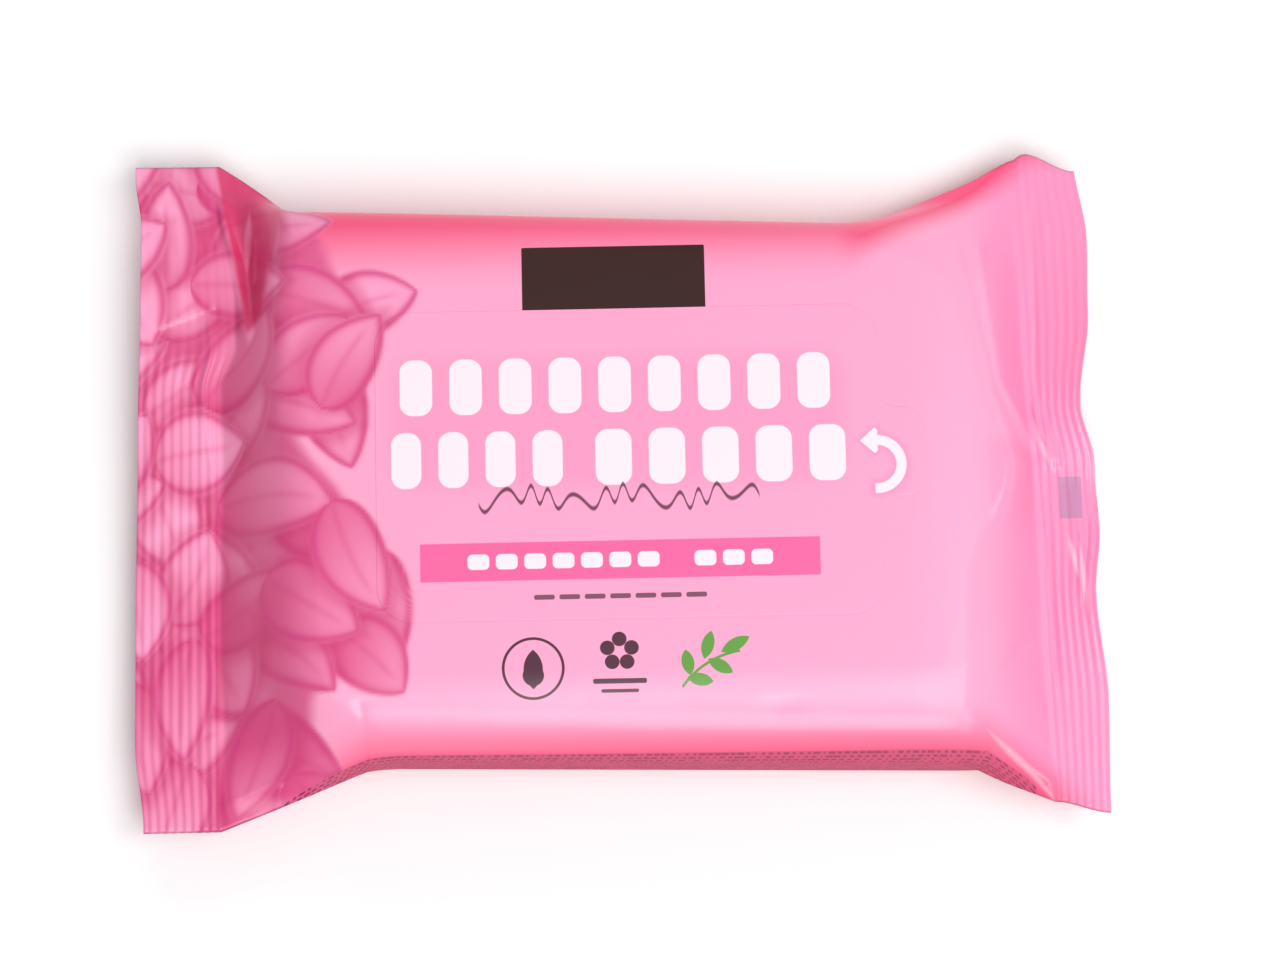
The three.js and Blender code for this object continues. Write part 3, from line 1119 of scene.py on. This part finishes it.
@dataclass
class PaintedLeaves:
    """The leaves at the left end: rows round the whole tube, each leaf moved and turned by chance."""

    seed: int = 7
    row_pitch: float = 12.5
    column_pitch: float = 12.0
    girth: float = 138.0
    stray: float = 4.5
    ground_cover: float = 0.8
    ground_in: float = 7.0
    ground_soft: float = 4.0
    tones: Table = ((-100, 0.75), (-84, 0.75), (-76, 0.3), (-58, 0.35), (-46, 0.7))
    paler_up: float = 0.005
    edge: Table = (
        (-140, -60),
        (-62, -60),
        (-46, -52),
        (-26, -43),
        (-8, -44),
        (12, -56),
        (30, -42),
        (46, -48),
        (58, -58),
        (140, -60),
    )

    def leaves(self) -> list[Leaf]:
        """The leaves in the order in which they are laid.

        Returns:
            Leaves up to the edge table's line, paler on the seal and deeper on the slope beside it.
        """
        draw = np.random.default_rng(self.seed)
        found = []
        for row in np.arange(-self.girth, self.girth + 1.0, self.row_pitch):
            for column in np.arange(-100.0, -38.0, self.column_pitch):
                x = column + draw.uniform(-self.stray, self.stray)
                y = row + draw.uniform(-self.stray, self.stray)
                if x > along(self.edge, np.array(y)):
                    continue
                tone = float(along(self.tones, np.array(x))) + self.paler_up * y
                found.append(
                    Leaf(
                        x,
                        y,
                        turn=draw.uniform(-1.5, 1.5) + y * 0.01,
                        half_length=draw.uniform(9.5, 13.0),
                        half_width=draw.uniform(6.0, 8.6),
                        bend=draw.uniform(-0.3, 0.3),
                        tone=tone + draw.uniform(-0.16, 0.16),
                    )
                )
        draw.shuffle(found)
        return found

    def paint(self, x: np.ndarray, y: np.ndarray) -> np.ndarray:
        """The colour of the leaves and their cover, over a deep ground that shows between them.

        Args:
            x: Places along the pack.
            y: Places across it, measured round the tube.

        Returns:
            Four values for each place: a colour, and how much of it covers the ground.
        """
        ground = self.ground_cover * ease((along(self.edge, y) - self.ground_in - x) / self.ground_soft)
        laid = ground[:, None] * np.array(Ink.LEAF_GROUND.colour)
        for leaf in self.leaves():
            reach = leaf.half_length + 5
            near = np.flatnonzero((np.abs(x - leaf.x) < reach) & (np.abs(y - leaf.y) < reach))
            laid[near] = leaf.lay(x[near], y[near], laid[near])
        cover = laid[:, 3:]
        bare = np.array(Ink.LEAF_PALE.colour[:3])
        colour = np.where(cover > LEAST_COVER, laid[:, :3] / np.maximum(cover, LEAST_COVER), bare)
        return np.concatenate([colour, cover], 1)


class Print:
    """A print on the pink film: the painted leaves, and what a kind of print lays over them."""

    name = "Print"
    has_matt_side = False

    def __init__(self) -> None:
        """Builds the node group once: from a Position in millimetres and the painted Leaves to a Color.

        A print with a matt side also puts out Matt, the share of matt at each place.
        """
        colour, number = "NodeSocketColor", "NodeSocketFloat"
        inputs = (("Position", "NodeSocketVector"), ("Leaves", colour), ("Cover", number))
        matt = (("Matt", number),) if self.has_matt_side else ()
        self.group = new_group(self.name, inputs, (("Color", colour), *matt))
        start, stop = self.group.nodes["Group Input"], self.group.nodes["Group Output"]
        ground = self.group.nodes.new("ShaderNodeRGB")
        ground.outputs[0].default_value = Ink.FILM.colour
        painter = Painter(self.group, ground.outputs[0])
        sheet = split(self.group, start.outputs["Position"])
        self.tint_ground(sheet, painter)
        painter.lay(start.outputs["Leaves"], Field(self.group, start.outputs["Cover"]))
        self.draw(sheet, painter)
        self.group.links.new(painter.colour, stop.inputs["Color"])
        if self.has_matt_side:
            self.group.links.new(self.matt_side(sheet).socket, stop.inputs["Matt"])

    def matt_side(self, sheet: Sheet) -> Field:
        """How matt each place is, from 0 to 1."""
        raise NotImplementedError

    def tint_ground(self, sheet: Sheet, painter: Painter) -> None:
        """Lays what is under the leaves."""

    def draw(self, sheet: Sheet, painter: Painter) -> None:
        """Lays what is over the leaves."""


class FilmPrint(Print):
    """The print of the film: a plain dark field, three small signs and fine rows along the near side, with
    painted shade on its sides, end slopes and left fold, and painted highlights on the right seal.
    """

    name = "Film print and painted light"
    has_matt_side = True
    back_edge = (84.5, 83.5)  # where the side fields end on the back, y round the tube
    left_edge = (-66.0, -54.0)  # where the near field fades out towards the leaves, x

    def matt_side(self, sheet: Sheet) -> Field:
        """The near side, where the film is covered with fine rows of ink."""
        down = self.down_near_side(sheet)
        return down.eased(54.0, 58.0) * down.eased(*self.back_edge) * sheet.x.eased(*self.left_edge)

    def tint_ground(self, sheet: Sheet, painter: Painter) -> None:
        """Deeper pink over both end slopes, partly the film with no wipes under it and partly painted shade,
        and painted shade in a redder pink down both sides and along the far right outline, where the film
        turns away from the light.

        Args:
            sheet: Places on the film.
            painter: What is laid so far.
        """
        valley = (-sheet.y * 0.109 + 79.0).higher(-sheet.y * 0.61 + 88.4)
        upper = sheet.y.eased(4.0, 9.0) * sheet.y.eased(52.0, 44.0)
        right = (sheet.x - valley).eased(-0.5, 0.9) * upper + sheet.x.eased(69.0, 82.0) * (-upper + 1.0)
        # Deeper pink over the end slopes, partly the film with no wipes under it and partly painted shade; on
        # the right its sharp edge follows the valley crease, past which the facet turns away from the light.
        painter.lay(Ink.SLOPE_PINK.colour, right.higher(sheet.x.eased(-64.0, -76.0)))
        # Painted shade down the far side, where the film turns away from the light; past x 44 it follows the
        # far right outline.
        beside = sheet.x.eased(44.0, 53.0)
        past = sheet.y - sheet.x * 0.55 - 21.1
        far = sheet.y.eased(37.0, 57.0) * (-beside + 1.0) + past.eased(-8.0, 1.5) * beside
        painter.lay(Ink.SIDE_SHADE.colour, far * sheet.y.eased(*self.back_edge))
        # Painted shade in coral along the far right outline, where the far side is seen edge on.
        rim = past.eased(-0.4, 0.6) * sheet.y.eased(76.0, 66.0) * beside
        painter.lay(Ink.OUTLINE_SHADE.colour, rim * 0.9)
        # Painted shade down the near side, where the film turns down off the front.
        down = self.down_near_side(sheet)
        near = down.eased(45.5, 61.5) * down.eased(*self.back_edge) * sheet.x.eased(*self.left_edge)
        painter.lay(Ink.SIDE_SHADE.colour, near)

    def down_near_side(self, sheet: Sheet) -> Field:
        """How far a place lies down the near side, less at the two ends, where it is folded in."""
        past_right, past_left = (sheet.x - 72.0).higher(0.0), (-sheet.x - 50.0).higher(0.0)
        return -sheet.y - past_right * 0.7 - past_left * 0.4

    def draw(self, sheet: Sheet, painter: Painter) -> None:
        """Lays the field, the signs, the mark on the seal, the rows down the side, the fold's painted shade
        and the painted glints.

        Args:
            sheet: Places on the film.
            painter: What is laid so far.
        """
        painter.lay(Ink.DARK.colour, sheet.moved(0.1, 39.7).box(36.6, 13.4, 0.3).inside())
        self._lay_signs(sheet, painter)
        painter.lay(Ink.MARK.colour, sheet.moved(91.1, -3.6).box(4.6, 8.5, 0.2).inside(0.3))
        self._lay_side(Sheet(self.group, sheet.x, self.down_near_side(sheet)), painter)
        self._lay_fold(sheet, painter)
        self._lay_glints(sheet, painter)

    def _lay_glints(self, sheet: Sheet, painter: Painter) -> None:
        """Painted highlights: pale glints on the right seal's crinkles and along the ridge at its foot.

        Args:
            sheet: Places on the film.
            painter: What is laid so far.
        """
        # Painted highlight along the ridge at the foot of the right seal.
        ridge = sheet.blade(79.0, -59.2, -43.5, 8.2, 0.7)
        painter.lay(Ink.PALE.colour, ridge.inside(1.2) * 0.4)
        # Painted highlights: glints on the right seal's crinkles.
        lines = sheet.blade(84.9, 9.0, -80.0, 3.2, 0.4)
        lines = lines.lower(sheet.blade(86.5, 5.2, -66.0, 3.6, 0.5))
        lines = lines.lower(sheet.blade(91.2, -15.6, -79.0, 4.0, 0.5))
        lines = lines.lower(sheet.blade(92.9, -19.8, -85.0, 6.4, 0.5))
        painter.lay(Ink.PALE.colour, lines.inside(0.7) * 0.45)

    def _lay_fold(self, sheet: Sheet, painter: Painter) -> None:
        """Painted shade deep in the far left fold, the place between three lines that meet at its foot, with
        a painted glint on a ridge inside it.

        Args:
            sheet: Places on the film.
            painter: What is laid so far.
        """
        # Painted shade: the deep hollow of the fold between three lines.
        left = sheet.x + sheet.y * 0.19 + 68.5
        right = (sheet.x - sheet.y * 0.8 + 98.7).higher(sheet.x - sheet.y * 0.18 + 76.8)
        painter.lay(Ink.FOLD_SHADE.colour, left.eased(-0.4, 0.8) * right.eased(0.8, -1.6) * 0.85)
        # Painted highlight: a pale glint on a ridge inside the fold.
        glint = sheet.blade(-74.0, 51.0, 86.0, 5.5, 0.8)
        painter.lay(Ink.SLOPE_PINK.colour, glint.inside(0.8) * 0.6)

    def _lay_signs(self, sheet: Sheet, painter: Painter) -> None:
        """A drop in a ring, a small dark flower over two dashes, and a green sprig.

        Args:
            sheet: Places on the film.
            painter: What is laid so far.
        """
        ring = (sheet.away(-17.2, -39.2) - 5.9).abs() - 0.28
        drop = (sheet.away(-17.2, -40.6) - 2.1).lower(sheet.blade(-17.2, -39.4, 90.0, 3.9, 1.9))
        flower = sheet.away(-0.2, -33.7)
        for turn in np.radians((162, 234, 306, 378)):
            flower = flower.lower(sheet.away(-0.2 + 2.5 * math.cos(turn), -36.2 + 2.5 * math.sin(turn)))
        dashes = sheet.moved(-0.2, -42.0).box(10.6, 1.0, 0.4)
        dashes = dashes.lower(sheet.moved(-0.2, -43.9).box(7.4, 0.7, 0.3))
        painter.lay(Ink.TEXT.colour, ring.lower(drop).lower(flower - 1.45).lower(dashes).inside())
        sprig = (sheet.away(26.0, -53.5) - 17.2).abs() - 0.28
        sprig = sprig.higher(sheet.away(17.2, -39.0) - 6.8)
        for x, y, turn, length in (
            (13.2, -38.6, 100, 2.6),
            (15.6, -42.0, -10, 2.6),
            (17.2, -35.2, 75, 2.9),
            (19.6, -39.4, -30, 2.8),
            (22.6, -35.2, 28, 3.2),
        ):
            sprig = sprig.lower(sheet.blade(x, y, turn, length, 1.25))
        painter.lay(Ink.GREEN.colour, sprig.inside())

    def _lay_side(self, sheet: Sheet, painter: Painter) -> None:
        """Rows of tiny dashes down the near side of the pack, their lengths drawn from white noise.

        Args:
            sheet: Places along the pack and down its near side.
            painter: What is laid so far.
        """
        pitch, cell_length, top = 1.25, 1.5, 57.1
        row = (sheet.y - top) / pitch
        number = row.floor()
        cell = sheet.x / cell_length + number * 0.37
        whole = cell.floor()
        join = self.group.nodes.new("ShaderNodeCombineXYZ")
        self.group.links.new(whole.socket, join.inputs[0])
        self.group.links.new(number.socket, join.inputs[1])
        noise = self.group.nodes.new("ShaderNodeTexWhiteNoise")
        noise.noise_dimensions = "2D"
        self.group.links.new(join.outputs[0], noise.inputs["Vector"])
        wide = Field(self.group, noise.outputs["Value"]) * 1.3 + 0.2
        local = Sheet(self.group, (cell - whole - 0.5) * cell_length, (row - number - 0.5) * pitch)
        within = sheet.moved(1.4, 67.6).box(161.0, 21.0, 0.4).inside(0.3)
        ground = sheet.x.eased(*self.left_edge)
        # The rows' ground: partly the fine print's own colour, partly painted shade on the near wall.
        painter.lay(Ink.SIDE_PRINT_AND_SHADE.colour, within * ground * 0.8)
        dashes = local.box(wide, 0.7, 0.2).inside(0.3) * within
        painter.lay(Ink.TEXT.colour, dashes * (-ground * 0.4 + 0.9))


class LabelPrint(Print):
    """The label's print: two rows of pale blocks, a wavy line, a band, fine dashes and a bent arrow."""

    name = "Label print"
    block_runs = ((0.0, 17.8, 89.0, 9), (-27.6, 3.0, 37.4, 4), (20.7, 3.0, 53.0, 5))  # x, y, width, count
    block_gap = 3.4
    line_half = 27.8
    band_blocks = (61.6, 11, 7)  # width, count, and the number of the one that is left out
    dash_run = (35.0, 7)  # width, count

    def draw(self, sheet: Sheet, painter: Painter) -> None:
        """Lays the rows from the top down, then the arrow on the lift tab.

        Args:
            sheet: Places on the label.
            painter: What is laid so far.
        """
        self._lay_blocks(sheet, painter)
        line = sheet.moved(0.4, -5.2)
        wave = (line.x * 1.3 + (line.x * 0.4).sin() * 1.6).sin() * 1.7 + (line.x * 0.31 + 1.0).sin() * 1.0
        stroke = ((line.y - wave).abs() - 0.45).inside(0.4) * (line.x.abs() - self.line_half).inside(0.4)
        painter.lay(Ink.TEXT.colour, stroke * 0.9)
        band = sheet.moved(0.4, -17.8)
        painter.lay(Ink.BAND.colour, band.box(79.0, 7.7, 0.3).inside())
        wide, count, left_out = self.band_blocks
        number, local = band.cells(wide, count)
        shown = (band.x.abs() - wide / 2).inside() * (number - left_out).abs().held()
        painter.lay(Ink.PALE.colour, local.box(4.3, 3.1, 1.0).inside() * shown)
        dashes = sheet.moved(0.3, -25.1)
        wide, count = self.dash_run
        _, local = dashes.cells(wide, count)
        shown = (dashes.x.abs() - wide / 2).inside()
        painter.lay(Ink.TEXT.colour, local.box(4.1, 1.0, 0.4).inside() * shown * 0.85)
        self._lay_arrow(sheet, painter)

    def _lay_arrow(self, sheet: Sheet, painter: Painter) -> None:
        """Half a ring with a three-cornered head, over a soft deeper glow.

        Args:
            sheet: Places on the label.
            painter: What is laid so far.
        """
        arrow = sheet.moved(51.6, 0.4)
        body = ((arrow.reach() - 4.9).abs() - 1.0).higher(-arrow.x - 0.4)
        head = sheet.moved(51.3, 5.2)
        tip = (head.x.abs() + head.y.abs() * 1.1 - 2.9).higher(head.x - 0.6)
        shape = body.lower(tip)
        painter.lay(Ink.GLOW.colour, shape.eased(1.6, 0.0) * 0.4)
        painter.lay(Ink.PALE.colour, shape.inside())

    def _lay_blocks(self, sheet: Sheet, painter: Painter) -> None:
        """Nine blocks in the upper row, four and five in the lower one, over a soft deeper glow.

        Args:
            sheet: Places on the label.
            painter: What is laid so far.
        """
        painter.lay(Ink.GLOW.colour, sheet.moved(0.3, 10.4).box(84.0, 20.0, 3.0).eased(6.5, 0.0) * 0.32)
        for x, y, wide, count in self.block_runs:
            run = sheet.moved(x, y)
            _, local = run.cells(wide, count)
            block = local.box(wide / count - self.block_gap, 11.4, 2.6).higher(run.x.abs() - wide / 2)
            painter.lay(Ink.PALE.colour, block.inside())


# The finishes.


@dataclass(frozen=True)
class PlasticFinish:
    """Printed plastic film: how smooth it is, its clear top coat and its fine waviness in millimetres."""

    name: str
    roughness: float
    coat: float
    coat_roughness: float
    wave_size: float
    wave_height: float
    matt_roughness: float = 0.85

    def material(self, pack_print: Print) -> bpy.types.Material:
        """The finish with a print on it.

        Args:
            pack_print: The print's node group.

        Returns:
            The material.
        """
        material = bpy.data.materials.new(self.name)
        material.use_nodes = True
        tree = material.node_tree
        shader = tree.nodes["Principled BSDF"]
        position = film_position(tree)
        printed = tree.nodes.new("ShaderNodeGroup")
        printed.node_tree = pack_print.group
        tree.links.new(position, printed.inputs["Position"])
        paint = tree.nodes.new("ShaderNodeVertexColor")
        paint.layer_name = PAINT
        tree.links.new(paint.outputs["Color"], printed.inputs["Leaves"])
        tree.links.new(paint.outputs["Alpha"], printed.inputs["Cover"])
        tree.links.new(printed.outputs["Color"], shader.inputs["Base Color"])
        shader.inputs["Roughness"].default_value = self.roughness
        shader.inputs["Coat Weight"].default_value = self.coat
        shader.inputs["Coat Roughness"].default_value = self.coat_roughness
        if pack_print.has_matt_side:
            matt = Field(tree, printed.outputs["Matt"])
            roughness = matt * (self.matt_roughness - self.roughness) + self.roughness
            coat = matt * -self.coat + self.coat
            tree.links.new(roughness.socket, shader.inputs["Roughness"])
            tree.links.new(coat.socket, shader.inputs["Coat Weight"])
        coordinates = tree.nodes.new("ShaderNodeTexCoord")
        noise = tree.nodes.new("ShaderNodeTexNoise")
        noise.inputs["Scale"].default_value = 1.0 / (self.wave_size * MM)
        noise.inputs["Detail"].default_value = 2.0
        tree.links.new(coordinates.outputs["Object"], noise.inputs["Vector"])
        waves = tree.nodes.new("ShaderNodeBump")
        waves.inputs["Strength"].default_value = 1.0
        waves.inputs["Distance"].default_value = self.wave_height * MM
        tree.links.new(noise.outputs[0], waves.inputs["Height"])
        tree.links.new(waves.outputs[0], shader.inputs["Normal"])
        return material


FILM_FINISH = PlasticFinish(
    "printed film",
    roughness=0.36,
    coat=0.15,
    coat_roughness=0.22,
    wave_size=9.0,
    wave_height=0.12,
)
LABEL_FINISH = PlasticFinish(
    "printed label",
    roughness=0.34,
    coat=0.2,
    coat_roughness=0.22,
    wave_size=14.0,
    wave_height=0.05,
)


# The studio.


@dataclass(frozen=True)
class Lamp:
    """A square soft lamp aimed at the pack: where it stands and its side in metres, its power in watts."""

    name: str
    place: tuple[float, float, float]
    size: float
    power: float


@dataclass
class Studio:
    """A white table under soft light, and a camera that looks down on the pack from its near side.

    The lights' places and the table's half side are in metres, the camera's distance, its target and the
    table's drop in millimetres, and all angles in degrees.
    """

    lamps: tuple[Lamp, ...] = (
        Lamp("key", (0.25, -0.62, 1.3), 0.8, 13.5),
        Lamp("fill", (0.75, -0.1, 1.1), 0.5, 3.4),
    )
    aim: tuple[float, float, float] = (0.0, 0.0, 0.01)
    sun_place: tuple[float, float, float] = (0.1, 1.1, 0.45)
    sun_power: float = 0.9
    sun_angle: float = 40.0
    world_level: float = 0.35
    glossy_level: float = 0.5
    table_half: float = 3.0
    table_drop: float = 0.3
    elevation: float = 77.5
    azimuth: float = 0.2
    roll: float = -1.4
    distance: float = 970.0
    lens: float = 137.0
    shift_px: tuple[float, float] = (18.0, 1.0)
    image_width: int = 1270
    target: tuple[float, float, float] = (0.0, 0.0, 13.0)

    def camera(self) -> None:
        """The camera: on a sphere round the target, looking at it, then rolled about its own axis."""
        e, a, r = (math.radians(v) for v in (self.elevation, self.azimuth, self.roll))
        back = Vector((math.cos(e) * math.sin(a), -math.cos(e) * math.cos(a), math.sin(e)))
        right = Vector((math.cos(a), math.sin(a), 0.0))
        up = back.cross(right)
        turned = right * math.cos(r) + up * math.sin(r)
        upright = up * math.cos(r) - right * math.sin(r)
        data = bpy.data.cameras.new("studio_camera")
        data.lens = self.lens
        data.sensor_width = 36.0
        data.shift_x = self.shift_px[0] / self.image_width
        data.shift_y = self.shift_px[1] / self.image_width
        data.clip_end = 50.0
        camera = bpy.data.objects.new("studio_camera", data)
        bpy.context.collection.objects.link(camera)
        matrix = Matrix((turned, upright, back)).transposed().to_4x4()
        matrix.translation = (Vector(self.target) + back * self.distance) * MM
        camera.matrix_world = matrix
        bpy.context.scene.camera = camera

    def light(self, lamp: Lamp) -> None:
        """Puts up one lamp.

        Args:
            lamp: The lamp.
        """
        data = bpy.data.lights.new(lamp.name, "AREA")
        data.shape = "SQUARE"
        data.size = lamp.size
        data.energy = lamp.power
        light = bpy.data.objects.new(lamp.name, data)
        bpy.context.collection.objects.link(light)
        light.location = lamp.place
        towards = Vector(self.aim) - Vector(lamp.place)
        light.rotation_euler = towards.to_track_quat("-Z", "Y").to_euler()

    def sun(self) -> None:
        """A wide soft sun that lights the far sides evenly and isn't mirrored in the film."""
        data = bpy.data.lights.new("back", "SUN")
        data.angle = math.radians(self.sun_angle)
        data.energy = self.sun_power
        light = bpy.data.objects.new("back", data)
        bpy.context.collection.objects.link(light)
        light.rotation_euler = (-Vector(self.sun_place)).to_track_quat("-Z", "Y").to_euler()
        light.visible_glossy = False

    def world(self) -> None:
        """Even light from all round, and plain white where the camera looks past the table."""
        world = bpy.data.worlds.new("studio_world")
        bpy.context.scene.world = world
        world.use_nodes = True
        tree = world.node_tree
        shader = tree.nodes["Background"]
        shader.inputs["Color"].default_value = (1.0, 1.0, 1.0, 1.0)
        path = tree.nodes.new("ShaderNodeLightPath")
        seen = Field(tree, path.outputs["Is Camera Ray"])
        seen = seen.higher(Field(tree, path.outputs["Is Transmission Ray"]))
        glossy = Field(tree, path.outputs["Is Glossy Ray"])
        strength = seen.higher(glossy * self.glossy_level).higher(self.world_level)
        tree.links.new(strength.socket, shader.inputs["Strength"])

    def table(self) -> None:
        """The white table: a wide flat square just under the pack."""
        half = self.table_half
        corners = [(-half, -half, 0), (half, -half, 0), (half, half, 0), (-half, half, 0)]
        mesh = bpy.data.meshes.new("table")
        mesh.from_pydata(corners, [], [(0, 1, 2, 3)])
        floor = bpy.data.objects.new("table", mesh)
        floor.location = (0, 0, -self.table_drop * MM)
        bpy.context.collection.objects.link(floor)
        material = bpy.data.materials.new("white_table")
        material.use_nodes = True
        shader = material.node_tree.nodes["Principled BSDF"]
        shader.inputs["Base Color"].default_value = (0.97, 0.97, 0.97, 1.0)
        shader.inputs["Roughness"].default_value = 0.9
        shader.inputs["Specular IOR Level"].default_value = 0.0
        mesh.materials.append(material)

    def build(self) -> None:
        """Sets up the table, the light and the camera."""
        bpy.context.scene.view_settings.view_transform = "Standard"
        self.world()
        for lamp in self.lamps:
            self.light(lamp)
        self.sun()
        self.table()
        self.camera()


def main() -> None:
    """Builds the film, the label and the studio, in that order."""
    logging.basicConfig(level=logging.INFO, format="%(message)s")
    film = Film()
    film.centre_on(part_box("sealed_pack"))
    leaves = PaintedLeaves()
    wrapper = film.build(FILM_FINISH.material(FilmPrint()), leaves)
    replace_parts(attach(wrapper, "root"), "sealed_pack")
    log.info("printed_film: %d faces", len(wrapper.data.polygons))
    label = Label(film).build(LABEL_FINISH.material(LabelPrint()), leaves)
    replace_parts(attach(label, "root"), "reseal_label")
    log.info("peel_label: %d faces", len(label.data.polygons))
    Studio().build()
    log.info("studio: table, light and camera")


if __name__ == "__main__":
    main()
